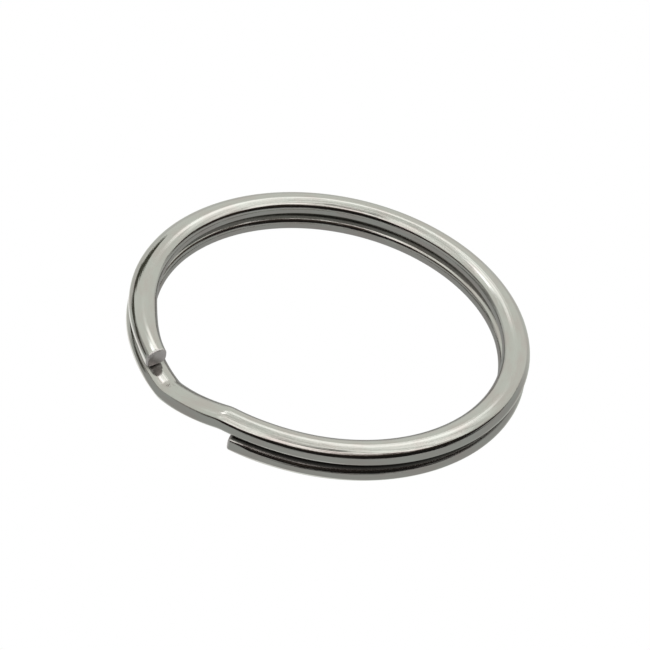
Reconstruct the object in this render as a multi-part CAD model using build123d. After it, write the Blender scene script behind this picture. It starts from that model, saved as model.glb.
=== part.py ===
"""Split key ring: one flattened steel wire wound right-handed into two touching turns.

The wire runs from its upper free end once round the upper turn, drops through an S-bend (the
crossover) into the lower turn, and runs once round that to its lower free end. It is divided
into short stretches where it flexes, so that either free end can be prised open.

Row frame: millimetres, +Z up, origin at the ring's centre on the plane that it lies on. The
crossover is at the front (-Y). Angles are in degrees round +Z from the middle of the crossover.
"""

import os
from math import atan, cos, degrees, pi, radians, sin, sqrt

from build123d import *

# Driving dimensions
OUTER_DIAMETER = 30.0
WIRE_WIDTH = 2.1  # across the wire, measured along the ring's radius
WIRE_HEIGHT = 1.42  # one turn, between its flat lands
LAND_WIDTH = 0.7  # flat land pressed along the top and bottom of the wire
TURN_GAP = 0.03  # between the upper turn's underside and the lower turn's top
STRETCH_GAP = 0.05  # between the end faces of two neighbouring stretches
CROSSOVER_SPAN = 29.6  # degrees over which the wire drops from one turn to the other
UPPER_TIP = 341.0  # degrees, anticlockwise from the crossover's middle, where the wire starts
LOWER_TIP = -345.4  # degrees, where the wire ends after the lower turn
STRETCHES_PER_TURN = 11
FLARE = 0.19  # how far the wire stands outward at the crossover
FLARE_REACH = 32.0  # degrees each side of the crossover over which the flare fades out
TIP_NARROWING = 0.39  # width lost from the inside of the wire at its very end
TIP_NARROWING_REACH = 24.0  # degrees before the end where the narrowing starts
TIP_ROUNDING = 0.3  # edge radius round each end face

# Worked out from the driving dimensions
MID_RADIUS = (OUTER_DIAMETER - WIRE_WIDTH) / 2
PITCH = WIRE_HEIGHT + TURN_GAP
LOWER_Z = WIRE_HEIGHT / 2
UPPER_Z = LOWER_Z + PITCH
HALF_CROSSOVER = CROSSOVER_SPAN / 2
HALF_GAP = degrees(STRETCH_GAP / 2 / MID_RADIUS)
FRONT = -90.0  # world direction of the crossover's middle
LOFT_STEP = 4.0  # degrees between the sections of a lofted stretch


def fade(x):
    """1 at x = 0, falling smoothly to 0 at x = 1 and beyond."""
    return (1 + cos(pi * min(abs(x), 1.0))) / 2


def flare(phi):
    """Outward shift of the wire near the crossover."""
    from_front = (phi + 180) % 360 - 180
    return FLARE * fade(from_front / FLARE_REACH)


def section(width):
    """The wire's cross-section: an ellipse with a narrow flat land at its top and bottom."""
    half_height = WIRE_HEIGHT / 2 / sqrt(1 - (LAND_WIDTH / WIRE_WIDTH) ** 2)
    return Ellipse(width / 2, half_height) & Rectangle(2 * width, WIRE_HEIGHT)


def section_plane(radius, phi, z, slope=0.0):
    """Plane across the wire: local X points outward and local Y up, tilted by the slope."""
    across = Plane((0, 0, 0), x_dir=(1, 0, 0), z_dir=(0, -1, 0))
    tilt = Rot(slope, 0, 0)
    return Rot(0, 0, FRONT + phi) * Pos(radius, 0, z) * tilt * Location(across)


def narrowing(phi, tip):
    """Width lost at an angle, for a stretch that ends at the tip."""
    return TIP_NARROWING * fade((phi - tip) / TIP_NARROWING_REACH)


def evenly(start, end):
    """Angles from start to end, both included, about one loft step apart."""
    count = max(2, round(abs(end - start) / LOFT_STEP))
    return [start + (end - start) * i / count for i in range(count + 1)]


def plain_stretch(start, end, z):
    """A stretch of circular turn away from the crossover, turned from one section."""
    low, high = sorted((start, end))
    face = Pos(MID_RADIUS, 0, z) * Rot(90, 0, 0) * section(WIRE_WIDTH)
    return Rot(0, 0, FRONT + low) * revolve(face, Axis.Z, high - low)


def shaped_stretch(start, end, z, tip=None):
    """A stretch beside the crossover, where the wire flares outward or narrows to its end."""
    faces = []
    for phi in evenly(start, end):
        lost = 0.0 if tip is None else narrowing(phi, tip)
        radius = MID_RADIUS + flare(phi) + lost / 2
        faces.append(section_plane(radius, phi, z) * section(WIRE_WIDTH - lost))
    return loft(faces)


def free_end(start, tip, z):
    """The last stretch of a turn, with the edges of its end face rounded."""
    wire = shaped_stretch(start, tip, z, tip)
    toward = 1 if tip > start else -1
    out = Vector(toward, 0, 0).rotate(Axis.Z, tip)
    end_face = wire.faces().sort_by(lambda f: f.normal_at().dot(out))[-1]
    return fillet(end_face.edges(), TIP_ROUNDING)


def crossover():
    """The S-bend: an eased drop from the upper turn to the lower one."""
    faces = []
    edge = HALF_CROSSOVER - HALF_GAP
    for phi in evenly(edge, -edge):
        fall = (HALF_CROSSOVER - phi) / CROSSOVER_SPAN
        z = UPPER_Z - PITCH * fall * fall * (3 - 2 * fall)
        run = MID_RADIUS * radians(CROSSOVER_SPAN)
        slope = degrees(atan(6 * fall * (1 - fall) * PITCH / run))
        radius = MID_RADIUS + flare(phi)
        faces.append(section_plane(radius, phi, z, slope) * section(WIRE_WIDTH))
    return loft(faces)


def turn(side, root, tip, z):
    """Every stretch of one turn, by name, from the crossover round to the free end."""
    way = 1 if tip > root else -1
    length = (tip - root) / STRETCHES_PER_TURN
    stretches = {}
    for i in range(STRETCHES_PER_TURN):
        start = root + i * length + way * HALF_GAP
        end = root + (i + 1) * length - way * HALF_GAP
        name = f"{side}_turn_{i + 1:02d}"
        if i == STRETCHES_PER_TURN - 1:
            stretches[f"{side}_free_end"] = free_end(start, tip, z)
        elif i == 0:
            stretches[name] = shaped_stretch(start, end, z)
        else:
            stretches[name] = plain_stretch(start, end, z)
    return stretches


parts = {"crossover_bend": crossover()}
parts.update(turn("upper", HALF_CROSSOVER, UPPER_TIP, UPPER_Z))
parts.update(turn("lower", -HALF_CROSSOVER, LOWER_TIP, LOWER_Z))

os.makedirs("parts", exist_ok=True)
for name, solid in parts.items():
    export_step(solid, f"parts/{name}.step")
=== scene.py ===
"""Split key ring: one flattened nickel-plated steel wire, wound into two touching turns."""

import random
from math import atan, atan2, cos, degrees, pi, radians, sin, sqrt

import bpy
from mathutils import Matrix, Vector


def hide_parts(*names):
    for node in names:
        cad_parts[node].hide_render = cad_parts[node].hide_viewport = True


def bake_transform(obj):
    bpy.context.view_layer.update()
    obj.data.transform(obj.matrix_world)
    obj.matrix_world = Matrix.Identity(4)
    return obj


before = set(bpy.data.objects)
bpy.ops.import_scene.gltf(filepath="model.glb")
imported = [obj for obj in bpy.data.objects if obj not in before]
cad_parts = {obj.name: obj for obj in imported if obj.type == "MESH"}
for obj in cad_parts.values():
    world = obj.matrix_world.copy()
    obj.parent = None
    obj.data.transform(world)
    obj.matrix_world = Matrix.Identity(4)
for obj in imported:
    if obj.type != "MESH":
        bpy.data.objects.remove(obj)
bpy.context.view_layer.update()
bpy.ops.object.select_all(action="DESELECT")

# --- Camera ---------------------------------------------------------------------------------
# A long lens close above the ring, looking down on the left of the S-bend. The camera is rolled
# a little, so that the ring leans down to the right.
CAMERA_AZIMUTH = 35.64
CAMERA_ELEVATION = 39.67
CAMERA_ROLL = 12.67
CAMERA_SHIFT_AND_DISTANCE = (-0.000056, 0.001407, 0.22309)
SENSOR_WIDTH = 36.0
LENS_LENGTH = 166.5

camera_data = bpy.data.cameras.new("camera")
camera_data.sensor_width = SENSOR_WIDTH
camera_data.lens = LENS_LENGTH
camera_data.clip_start = 0.01
camera_data.clip_end = 10.0
camera = bpy.data.objects.new("camera", camera_data)
bpy.context.collection.objects.link(camera)
camera.matrix_world = (
    Matrix.Rotation(radians(CAMERA_AZIMUTH), 4, "Z")
    @ Matrix.Rotation(radians(90 - CAMERA_ELEVATION), 4, "X")
    @ Matrix.Rotation(radians(CAMERA_ROLL), 4, "Z")
    @ Matrix.Translation(CAMERA_SHIFT_AND_DISTANCE)
)
bpy.context.scene.camera = camera


# --- The wire -------------------------------------------------------------------------------
# One length of spring steel, rolled to an oval and wound into two touching turns. Each turn is
# drawn as eleven stretches that meet without a step.
OUTER_DIAMETER = 0.030
WIRE_WIDTH = 0.0021
WIRE_HEIGHT = 0.00142
TURN_GAP = 0.00003
STRETCHES_PER_TURN = 11

# The oval leans by a few degrees, with its outer edge the lower one.
OVAL_TILT = -4.0

# Places along the wire are in degrees from the S-bend, which is at the ring's front. They count
# up along the upper turn and down along the lower one.
FRONT = -90.0

# How finely the wire is drawn: the points round it, and the degrees from one section to the
# next, which are fewer at the ends of a stretch, so that neighbours shade alike.
SECTION_POINTS = 96
WIRE_STEP = 0.5
CLOSE_STEP = 0.05

MID_RADIUS = (OUTER_DIAMETER - WIRE_WIDTH) / 2
PITCH = WIRE_HEIGHT + TURN_GAP
LOWER_Z = WIRE_HEIGHT / 2
UPPER_Z = LOWER_Z + PITCH

# The S-bend: the wire drops from the upper turn to the lower one between two tight bends, and
# stands outward a little as it does.
CROSSOVER_MIDDLE = 0.3
CROSSOVER_SPAN = 25.0
BEND_SHARE = 0.10
FLARE = 0.00019
FLARE_REACH = 32.0

# The free ends: sheared slightly askew, narrowed from the inside, and rounded by tumbling.
UPPER_TIP = 341.0
LOWER_TIP = -345.4
TIP_NARROWING = 0.00039
TIP_NARROWING_REACH = 24.0
TIP_ROUNDING = 0.00020
TIP_ROUNDING_STEPS = 6
TIP_STEP = 1.2
TIP_SKEW = 0.5
TIP_DOME = 0.13
DOME_REACH = 12.0
FLAT_REACH = 8.0

# The drawing die leaves fine ridges along the wire. They change slowly as the die wears, from
# the early ones to the late ones over this many degrees.
RIDGE_HEIGHT = 0.0000036
RIDGE_CHANGE = 50.0
die_marks = random.Random(30)
early_ridges = [die_marks.uniform(-1, 1) for _ in range(SECTION_POINTS)]
late_ridges = [die_marks.uniform(-1, 1) for _ in range(SECTION_POINTS)]


def fade(x):
    """1 at x = 0, falling smoothly to 0 at x = 1 and beyond."""
    return (1 + cos(pi * min(abs(x), 1.0))) / 2


def drop(angle):
    """Share of the drop that the wire has made at an angle, and how steeply it falls there."""
    fall = min(1.0, max(0.0, 0.5 - (angle - CROSSOVER_MIDDLE) / CROSSOVER_SPAN))
    late = min(fall, 1 - fall)
    if late < BEND_SHARE:
        done = late * late / (2 * BEND_SHARE * (1 - BEND_SHARE))
        steepness = late / BEND_SHARE / (1 - BEND_SHARE)
    else:
        done = (late - BEND_SHARE / 2) / (1 - BEND_SHARE)
        steepness = 1 / (1 - BEND_SHARE)
    return (done if fall < 0.5 else 1 - done), steepness


def wire_course(angle, tip):
    """Radius, height, slope and lost width of the wire at an angle from the S-bend's middle."""
    done, steepness = drop(angle)
    slope = atan(steepness * PITCH / (MID_RADIUS * radians(CROSSOVER_SPAN)))
    from_front = (angle + 180) % 360 - 180
    lost = TIP_NARROWING * fade((angle - tip) / TIP_NARROWING_REACH)
    radius = MID_RADIUS + FLARE * fade(from_front / FLARE_REACH) + lost / 2
    return radius, UPPER_Z - PITCH * done, slope, lost


def point_on_wire(angle, tip):
    """The middle of the wire at an angle."""
    radius, height = wire_course(angle, tip)[:2]
    turn = radians(FRONT + angle)
    return Vector((radius * cos(turn), radius * sin(turn), height))


def ridge(across, up, angle):
    """How far a ridge of the drawn wire stands out at a place on the oval and along the wire."""
    share = atan2(up / WIRE_HEIGHT, across / WIRE_WIDTH) / (2 * pi)
    point = round(share * SECTION_POINTS) % SECTION_POINTS
    wear = radians(90 * angle / RIDGE_CHANGE)
    return RIDGE_HEIGHT * (early_ridges[point] * cos(wear) + late_ridges[point] * sin(wear))


def spin_on(angle, steps):
    """Draws the selected end of the wire on round the ring's middle."""
    bpy.ops.mesh.spin(
        steps=steps, angle=radians(angle), center=(0, 0, 0), axis=(0, 0, -1), use_auto_merge=False
    )


def draw_wire(name, start, end):
    """A plain oval wire on the ring's middle circle, from one angle to another."""
    turn = radians(FRONT + start)
    bpy.ops.mesh.primitive_circle_add(
        vertices=SECTION_POINTS,
        radius=WIRE_WIDTH / 2,
        fill_type="NGON",
        location=(MID_RADIUS * cos(turn), MID_RADIUS * sin(turn), 0),
        rotation=(radians(90), 0, turn),
    )
    wire = bpy.context.object
    wire.name = name
    wire.data.name = name
    bpy.ops.object.transform_apply(location=True, rotation=True, scale=True)
    bpy.ops.object.mode_set(mode="EDIT")
    bpy.ops.mesh.select_all(action="SELECT")
    bpy.ops.transform.resize(value=(1, 1, WIRE_HEIGHT / WIRE_WIDTH), center_override=(0, 0, 0))
    way = 1 if end > start else -1
    last = TIP_STEP if end in (UPPER_TIP, LOWER_TIP) else CLOSE_STEP
    middle = abs(end - start) - CLOSE_STEP - last
    spin_on(way * CLOSE_STEP, 1)
    spin_on(way * middle, round(middle / WIRE_STEP))
    spin_on(way * last, 1)
    bpy.ops.object.mode_set(mode="OBJECT")
    return wire


def shape_wire(wire, start, tip):
    """Bends the plain wire to its course, and gives it its ridges, lean and free end."""
    straight = wire.data.attributes.new("straight_wire", "FLOAT_VECTOR", "POINT")
    for vertex in wire.data.vertices:
        x, y, up = vertex.co
        across = sqrt(x * x + y * y) - MID_RADIUS
        angle = start + (degrees(atan2(y, x)) - FRONT - start + 180) % 360 - 180
        straight.data[vertex.index].vector = (across, up, radians(angle) * MID_RADIUS)
        flat = fade((angle - tip) / FLAT_REACH)
        ridged = 1 + (1 - flat) * ridge(across, up, angle) / sqrt(across * across + up * up)
        across *= ridged
        up *= ridged
        underside = -1 if tip > 0 else 1
        if flat > 0 and up * underside > 0:
            power = 2 + 2 * flat
            side = min(1.0, abs(across) / (WIRE_WIDTH / 2))
            up = underside * WIRE_HEIGHT / 2 * (1 - side**power) ** (1 / power)
        if up * underside < 0:
            up *= 1 - TIP_DOME * max(0.0, 1 - abs(angle - tip) / DOME_REACH) ** 2
        if abs(angle - tip) < TIP_STEP / 2:
            angle += TIP_SKEW * across / (WIRE_WIDTH / 2)
        radius, height, slope, lost = wire_course(angle, tip)
        across *= 1 - lost / WIRE_WIDTH
        radius += across * cos(radians(OVAL_TILT)) - up * sin(radians(OVAL_TILT))
        up = up * cos(radians(OVAL_TILT)) + across * sin(radians(OVAL_TILT))
        turn = radians(FRONT + angle)
        lean = up * sin(slope)
        vertex.co = Vector(
            (
                radius * cos(turn) + lean * sin(turn),
                radius * sin(turn) - lean * cos(turn),
                height + up * cos(slope),
            )
        )


def round_free_end(wire, tip):
    """Rounds the edge of the sheared end face and gives the face its duller finish."""
    middle = point_on_wire(tip, tip)
    bpy.ops.object.mode_set(mode="EDIT")
    bpy.ops.mesh.select_mode(type="FACE")
    bpy.ops.mesh.select_all(action="DESELECT")
    bpy.ops.object.mode_set(mode="OBJECT")
    for face in wire.data.polygons:
        face.select = len(face.vertices) > 4 and (face.center - middle).length < WIRE_WIDTH / 2
        if face.select:
            face.material_index = 1
    bpy.ops.object.mode_set(mode="EDIT")
    bpy.ops.mesh.region_to_loop()
    bpy.ops.mesh.bevel(
        offset=TIP_ROUNDING,
        segments=TIP_ROUNDING_STEPS,
        profile=0.5,
        affect="EDGES",
        material=1,
    )
    bpy.ops.object.mode_set(mode="OBJECT")


# The finish: bright nickel plate, tumbled smooth. Fine lines from the drawing die run along
# the wire, the plate waves a little, and the faces where the turns touch are rougher, with
# painted shade darkening their colour.
TOUCHING_FACE_HEIGHTS = (-0.00060, -0.00040)
CROSSOVER_ENDS = (0.0044, 0.0050)
TOUCHING_FACE_EDGE = (-0.0004, 0.0002)
INNER_CREVICE_SHARE = 0.3
CREVICE_DULLNESS = 0.16

# How large the marks of the finish are: across the wire, up it and along it.
LINE_SIZE = (0.00009, 0.00009, 0.009)
WAVE_SIZE = (0.0012, 0.0012, 0.0045)
MOTTLE_SIZE = (0.0007, 0.0007, 0.0022)
SPECK_SIZE = (0.00006, 0.00006, 0.00012)


def math_node(tree, operation, *values):
    """A Math node of the given operation on numbers or node outputs."""
    node = tree.nodes.new("ShaderNodeMath")
    node.operation = operation
    for socket, value in zip(node.inputs, values):
        if isinstance(value, (int, float)):
            socket.default_value = value
        else:
            tree.links.new(value, socket)
    return node.outputs["Value"]


def soft_step(tree, value, low, high, bottom=0.0, top=1.0):
    """A number that eases from bottom to top as the value goes from low to high."""
    node = tree.nodes.new("ShaderNodeMapRange")
    node.interpolation_type = "SMOOTHSTEP"
    for name, number in (
        ("From Min", low),
        ("From Max", high),
        ("To Min", bottom),
        ("To Max", top),
    ):
        node.inputs[name].default_value = number
    tree.links.new(value, node.inputs["Value"])
    return node.outputs["Result"]


def mix_colour(tree, amount, first, second):
    """The first colour, going over to the second by the amount."""
    node = tree.nodes.new("ShaderNodeMix")
    node.data_type = "RGBA"
    tree.links.new(amount, node.inputs["Factor"])
    for name, colour in (("A", first), ("B", second)):
        socket = next(s for s in node.inputs if s.name == name and s.type == "RGBA")
        if isinstance(colour, tuple):
            socket.default_value = (*colour, 1)
        else:
            tree.links.new(colour, socket)
    return next(s for s in node.outputs if s.type == "RGBA")


def all_of(tree, *amounts):
    """The product of several amounts."""
    result = amounts[0]
    for amount in amounts[1:]:
        result = math_node(tree, "MULTIPLY", result, amount)
    return result


def grain(tree, place, size, detail=3.0, roughness=0.55):
    """Noise on the wire's own length, of the given size across, up and along, in metres."""
    spread = tree.nodes.new("ShaderNodeMapping")
    spread.inputs["Scale"].default_value = [1 / metres for metres in size]
    tree.links.new(place, spread.inputs["Vector"])
    noise = tree.nodes.new("ShaderNodeTexNoise")
    noise.inputs["Scale"].default_value = 1.0
    noise.inputs["Detail"].default_value = detail
    noise.inputs["Roughness"].default_value = roughness
    tree.links.new(spread.outputs["Vector"], noise.inputs["Vector"])
    return noise.outputs["Fac"]


def plated_finish(name, colour, warm_colour, painted_crevice_shade, roughness, line_depth, wave_depth):
    """Nickel plate on drawn wire: drawing lines, gentle waves, and touching faces made rougher
    and darkened with painted shade.
    """
    material = bpy.data.materials.new(name)
    material.use_nodes = True
    tree = material.node_tree
    shader = tree.nodes["Principled BSDF"]
    shader.inputs["Metallic"].default_value = 1.0
    attribute = tree.nodes.new("ShaderNodeAttribute")
    attribute.attribute_name = "straight_wire"
    place = attribute.outputs["Vector"]
    axes = tree.nodes.new("ShaderNodeSeparateXYZ")
    tree.links.new(place, axes.inputs["Vector"])
    across, up, along = axes.outputs

    # The faces where the turns touch: the underside of the upper turn and the top of the lower.
    # They are rougher, and their colour is darkened there as painted shade.
    toward_other = math_node(tree, "MULTIPLY", up, math_node(tree, "SIGN", along))
    crevice = all_of(
        tree,
        soft_step(tree, toward_other, *TOUCHING_FACE_HEIGHTS, 1.0, 0.0),
        soft_step(tree, math_node(tree, "ABSOLUTE", along), *CROSSOVER_ENDS),
        soft_step(tree, across, *TOUCHING_FACE_EDGE, INNER_CREVICE_SHARE, 1.0),
    )
    lines = grain(tree, place, LINE_SIZE, 3.0, 0.6)
    waves = grain(tree, place, WAVE_SIZE, 1.0)
    mottle = grain(tree, place, MOTTLE_SIZE, 3.0)
    specks = grain(tree, place, SPECK_SIZE, 2.0)
    tint = mix_colour(tree, soft_step(tree, mottle, 0.35, 0.7), colour, warm_colour)
    # Painted shade: the colour of the touching faces is darkened towards the crevice colour.
    tint = mix_colour(tree, crevice, tint, painted_crevice_shade)
    tree.links.new(tint, shader.inputs["Base Color"])
    dullness = math_node(tree, "MULTIPLY_ADD", lines, roughness * 0.9, roughness * 0.3)
    dullness = math_node(tree, "MULTIPLY_ADD", specks, roughness * 0.5, dullness)
    dullness = math_node(tree, "MULTIPLY_ADD", crevice, CREVICE_DULLNESS, dullness)
    tree.links.new(dullness, shader.inputs["Roughness"])
    normal = None
    for height, depth in ((waves, wave_depth), (lines, line_depth), (specks, line_depth / 6)):
        bump = tree.nodes.new("ShaderNodeBump")
        bump.inputs["Distance"].default_value = depth
        tree.links.new(height, bump.inputs["Height"])
        if normal is not None:
            tree.links.new(normal, bump.inputs["Normal"])
        normal = bump.outputs["Normal"]
    tree.links.new(normal, shader.inputs["Normal"])
    return material


# In both finishes the crevice colour is painted shade where the turns touch.
nickel = plated_finish(
    "bright_nickel",
    colour=(0.63, 0.64, 0.61),
    warm_colour=(0.62, 0.59, 0.565),
    painted_crevice_shade=(0.17, 0.165, 0.16),
    roughness=0.10,
    line_depth=0.000007,
    wave_depth=0.000006,
)
sheared = plated_finish(
    "sheared_end",
    colour=(0.84, 0.81, 0.81),
    warm_colour=(0.72, 0.69, 0.69),
    painted_crevice_shade=(0.66, 0.63, 0.63),
    roughness=0.42,
    line_depth=0.000006,
    wave_depth=0.000010,
)


# The stretches. Each runs from the middle of one rigid link of the spring to the middle of the
# next, over the hinge between them. Edges sharper than 35 degrees stay sharp.
FIRST_HINGE = 14.8
SHARP_EDGE = 35.0

for side, root, tip in (("upper", FIRST_HINGE, UPPER_TIP), ("lower", -FIRST_HINGE, LOWER_TIP)):
    link = (tip - root) / STRETCHES_PER_TURN
    bodies = ["crossover"]
    bodies += [f"{side}_turn_{i + 1:02d}" for i in range(STRETCHES_PER_TURN - 1)]
    bodies.append(f"{side}_free_end")
    joins = [0.0] + [root + (i + 0.5) * link for i in range(STRETCHES_PER_TURN - 1)] + [tip]
    for i, (start, end) in enumerate(zip(joins, joins[1:])):
        stretch = draw_wire(f"{side}_wire_{i + 1:02d}", start, end)
        stretch.data.materials.append(nickel)
        shape_wire(stretch, start, tip)
        if end == tip:
            stretch.data.materials.append(sheared)
            round_free_end(stretch, tip)
        bpy.ops.object.mode_set(mode="EDIT")
        bpy.ops.mesh.select_all(action="SELECT")
        bpy.ops.mesh.normals_make_consistent(inside=False)
        bpy.ops.object.mode_set(mode="OBJECT")
        bpy.ops.object.shade_smooth_by_angle(angle=radians(SHARP_EDGE))
        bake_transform(stretch)
        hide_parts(bodies[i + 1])
        if start == 0.0 and side == "upper":
            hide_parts("crossover_bend")


# --- Studio ---------------------------------------------------------------------------------
# The ring lies on a plain pale table in a soft light tent. The tent is grey low down, pale
# behind and overhead, and has a dark opening on the camera's side. Angles are in degrees.
bpy.context.scene.view_settings.view_transform = "Standard"
world = bpy.data.worlds.new("light_tent")
bpy.context.scene.world = world
world.use_nodes = True
tent = world.node_tree

direction = tent.nodes.new("ShaderNodeTexCoord").outputs["Generated"]
facing = tent.nodes.new("ShaderNodeVectorRotate")
facing.rotation_type = "Z_AXIS"
facing.inputs["Angle"].default_value = radians(-CAMERA_AZIMUTH)
tent.links.new(direction, facing.inputs["Vector"])
split = tent.nodes.new("ShaderNodeSeparateXYZ")
tent.links.new(facing.outputs["Vector"], split.inputs["Vector"])
to_right, to_back, to_top = split.outputs
to_camera = math_node(tent, "MULTIPLY", to_back, -1.0)
elevation = math_node(tent, "DEGREES", math_node(tent, "ARCSINE", to_top))
azimuth = math_node(tent, "DEGREES", math_node(tent, "ARCTAN2", to_right, to_camera))
aside = math_node(tent, "ABSOLUTE", azimuth)
turned = math_node(tent, "MULTIPLY_ADD", azimuth, 1 / 360, 0.5)


def outline(tree, value, stops):
    """A height in degrees that follows the given (azimuth, height) stops round the tent."""
    ramp = tree.nodes.new("ShaderNodeValToRGB")
    ramp.color_ramp.interpolation = "EASE"
    elements = ramp.color_ramp.elements
    while len(elements) < len(stops):
        elements.new(0.5)
    for element, (turn, height) in zip(elements, stops):
        element.position = turn / 360 + 0.5
        element.color = (height / 90, height / 90, height / 90, 1)
    tree.links.new(value, ramp.inputs["Fac"])
    return math_node(tree, "MULTIPLY", ramp.outputs["Color"], 90.0)


GREY_WALL = (0.37, 0.375, 0.36)
BACK_WALL = (0.60, 0.60, 0.57)
BACK_TABLE = (0.60, 0.61, 0.57)
WHITE_TABLE = (1.05, 1.05, 1.02)
SHADED_FOLD = (0.52, 0.53, 0.49)
BRIGHT_FOLD = (1.40, 1.40, 1.34)
BACK_CLOTH = (0.73, 0.74, 0.69)
DARK_OPENING = (0.012, 0.011, 0.010)
WARM_DARK = (0.075, 0.055, 0.045)
WHITE_PANEL = (1.45, 1.36, 1.32)
WHITE_STRIP = (1.5, 1.5, 1.45)
LAMP = (2.2, 2.2, 2.2)
HOLE = (0.10, 0.10, 0.09)
FOLDS_TO_BACK = 16.0
FOLDS_TO_SIDE = 1.6

# The edges of the opening, as azimuth and height.
OPENING_LOWER_EDGE = [
    (-150, 10),
    (-95, 24),
    (-60, 26),
    (-15, 19),
    (30, 22),
    (75, 27),
    (105, 25),
    (125, 20),
    (145, 10),
]
OPENING_UPPER_EDGE = [
    (-126, 15),
    (-95, 30),
    (-65, 42),
    (-40, 53),
    (-12, 64),
    (30, 67),
    (68, 64),
    (95, 54),
    (114, 41),
    (130, 26),
    (142, 12),
]

# Below the horizon the table is grey, paler behind, and white at the left and under the wire.
behind = math_node(
    tent,
    "MAXIMUM",
    soft_step(tent, azimuth, -128, -104, 1.0, 0.0),
    soft_step(tent, azimuth, 118, 150),
)
under = soft_step(tent, elevation, -82, -72, 1.0, 0.0)
at_left = all_of(
    tent,
    soft_step(tent, azimuth, -124, -104, 1.0, 0.0),
    soft_step(tent, elevation, -34, -20, 1.0, 0.0),
    soft_step(tent, elevation, -62, -52),
)
table = mix_colour(tent, behind, GREY_WALL, BACK_TABLE)
table = mix_colour(tent, math_node(tent, "MAXIMUM", at_left, under), table, WHITE_TABLE)
wall = mix_colour(tent, behind, GREY_WALL, BACK_WALL)
low_part = mix_colour(tent, soft_step(tent, elevation, -3, 2), table, wall)

# The opening, between its lower and upper edge, with a white panel over it.
opening_low = outline(tent, turned, OPENING_LOWER_EDGE)
opening_top = outline(tent, turned, OPENING_UPPER_EDGE)
over_low = math_node(tent, "SUBTRACT", elevation, opening_low)
over_top = math_node(tent, "SUBTRACT", elevation, opening_top)
above_wall = soft_step(tent, over_low, -1.5, 1.5)
folds = tent.nodes.new("ShaderNodeTexNoise")
folds.inputs["Scale"].default_value = 1.0
folds.inputs["Detail"].default_value = 2.0
fold_place = tent.nodes.new("ShaderNodeCombineXYZ")
tent.links.new(math_node(tent, "MULTIPLY", to_camera, FOLDS_TO_BACK), fold_place.inputs["X"])
tent.links.new(math_node(tent, "MULTIPLY", to_right, FOLDS_TO_SIDE), fold_place.inputs["Y"])
tent.links.new(fold_place.outputs["Vector"], folds.inputs["Vector"])
pale_fold = mix_colour(
    tent, soft_step(tent, folds.outputs["Fac"], 0.42, 0.62), SHADED_FOLD, BRIGHT_FOLD
)
overhead = soft_step(tent, elevation, 40, 54)
cloth = mix_colour(tent, overhead, BACK_CLOTH, pale_fold)
panel = all_of(
    tent,
    soft_step(tent, azimuth, -60, -35),
    soft_step(tent, azimuth, 85, 108, 1.0, 0.0),
    soft_step(tent, over_top, 8, 13, 1.0, 0.0),
)
cloth = mix_colour(tent, panel, cloth, WHITE_PANEL)
colour = mix_colour(tent, above_wall, low_part, cloth)
in_opening = all_of(
    tent,
    above_wall,
    soft_step(tent, over_top, -1.5, 1.5, 1.0, 0.0),
    soft_step(tent, azimuth, -125, -105),
    soft_step(tent, azimuth, 130, 145, 1.0, 0.0),
)
warm = soft_step(tent, over_top, -18, -3)
colour = mix_colour(tent, in_opening, colour, mix_colour(tent, warm, DARK_OPENING, WARM_DARK))

# A long white strip low behind, a lamp at its left end, and a dark slot near the top.
strip = all_of(
    tent,
    soft_step(tent, elevation, 42, 45),
    soft_step(tent, elevation, 50, 55, 1.0, 0.0),
    soft_step(tent, aside, 154, 167),
)
colour = mix_colour(tent, strip, colour, WHITE_STRIP)
lamp = all_of(
    tent,
    soft_step(tent, elevation, 49, 52),
    soft_step(tent, elevation, 56, 60, 1.0, 0.0),
    soft_step(tent, azimuth, -158, -151),
    soft_step(tent, azimuth, -136, -129, 1.0, 0.0),
)
colour = mix_colour(tent, lamp, colour, LAMP)
hole = all_of(
    tent,
    soft_step(tent, elevation, 78, 81),
    soft_step(tent, elevation, 84, 87, 1.0, 0.0),
    soft_step(tent, azimuth, -75, -50),
    soft_step(tent, azimuth, 105, 130, 1.0, 0.0),
)
colour = mix_colour(tent, hole, colour, HOLE)

tent.links.new(colour, tent.nodes["Background"].inputs["Color"])


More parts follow.
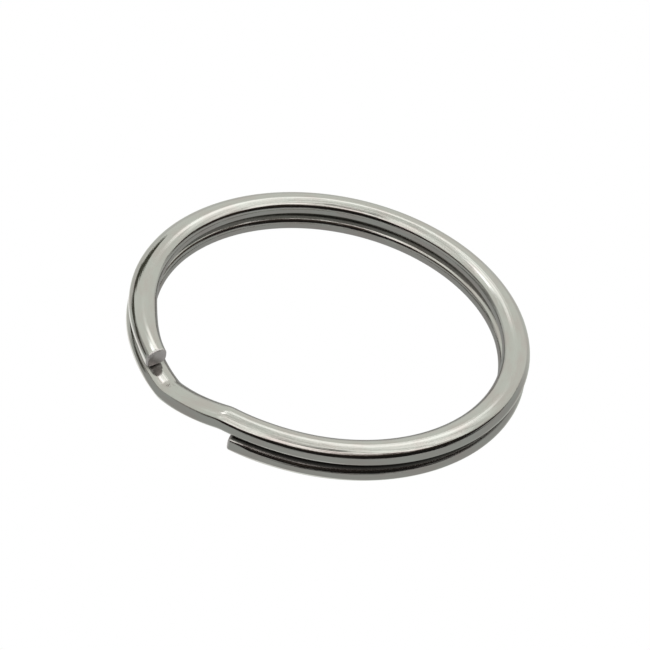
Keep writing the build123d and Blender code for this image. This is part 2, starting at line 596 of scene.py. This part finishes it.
def lit_evenly(stand, colour):
    """Gives a thing of the studio an even glow."""
    material = bpy.data.materials.new(stand.name)
    material.use_nodes = True
    tree = material.node_tree
    tree.nodes.clear()
    glow = tree.nodes.new("ShaderNodeEmission")
    glow.inputs["Color"].default_value = (*colour, 1)
    output = tree.nodes.new("ShaderNodeOutputMaterial")
    tree.links.new(glow.outputs["Emission"], output.inputs["Surface"])
    stand.data.materials.append(material)


# The floor and backdrop that the camera sees. The floor lies just under the reach of the lower
# free end when it is opened.
WHITE = (1, 1, 1)
FLOOR_SIZE = 1.8
FLOOR_HEIGHT = -0.004
BACKDROP_RADIUS = 0.95

bpy.ops.mesh.primitive_plane_add(size=FLOOR_SIZE, location=(0, 0, FLOOR_HEIGHT))
white_floor = bpy.context.object
white_floor.name = "white_floor"
lit_evenly(white_floor, WHITE)
bpy.ops.mesh.primitive_uv_sphere_add(segments=48, ring_count=24, radius=BACKDROP_RADIUS)
white_backdrop = bpy.context.object
white_backdrop.name = "white_backdrop"
lit_evenly(white_backdrop, WHITE)
for stand in (white_floor, white_backdrop):
    stand.visible_diffuse = False
    stand.visible_glossy = False
    stand.visible_transmission = False
    stand.visible_shadow = False

# The table within the ring, shaded by the wire round its edge. It shows only in the wire.
SHADED_RADIUS = 0.0139
SHADED_GREY = (0.34, 0.34, 0.33)

bpy.ops.mesh.primitive_circle_add(vertices=96, radius=SHADED_RADIUS, fill_type="NGON")
shaded_table = bpy.context.object
shaded_table.name = "shaded_table"
lit_evenly(shaded_table, SHADED_GREY)
shaded_table.visible_camera = False

# A dark bar beside the ring, low at its left front and rising to its left back. It shows only
# in the wire.
BAR_FRONT = Vector((-0.027, -0.006, 0.0022))
BAR_BACK = Vector((-0.019, 0.017, 0.0095))
BAR_RADIUS = 0.0018
BAR_GREY = (0.06, 0.06, 0.045)

bpy.ops.mesh.primitive_cylinder_add(
    vertices=32, radius=BAR_RADIUS, depth=(BAR_BACK - BAR_FRONT).length
)
dark_bar = bpy.context.object
dark_bar.name = "dark_bar"
dark_bar.matrix_world = (
    Matrix.Rotation(radians(CAMERA_AZIMUTH), 4, "Z")
    @ Matrix.Translation((BAR_FRONT + BAR_BACK) / 2)
    @ (BAR_BACK - BAR_FRONT).to_track_quat("Z", "Y").to_matrix().to_4x4()
)
lit_evenly(dark_bar, BAR_GREY)
dark_bar.visible_camera = False
dark_bar.visible_shadow = False
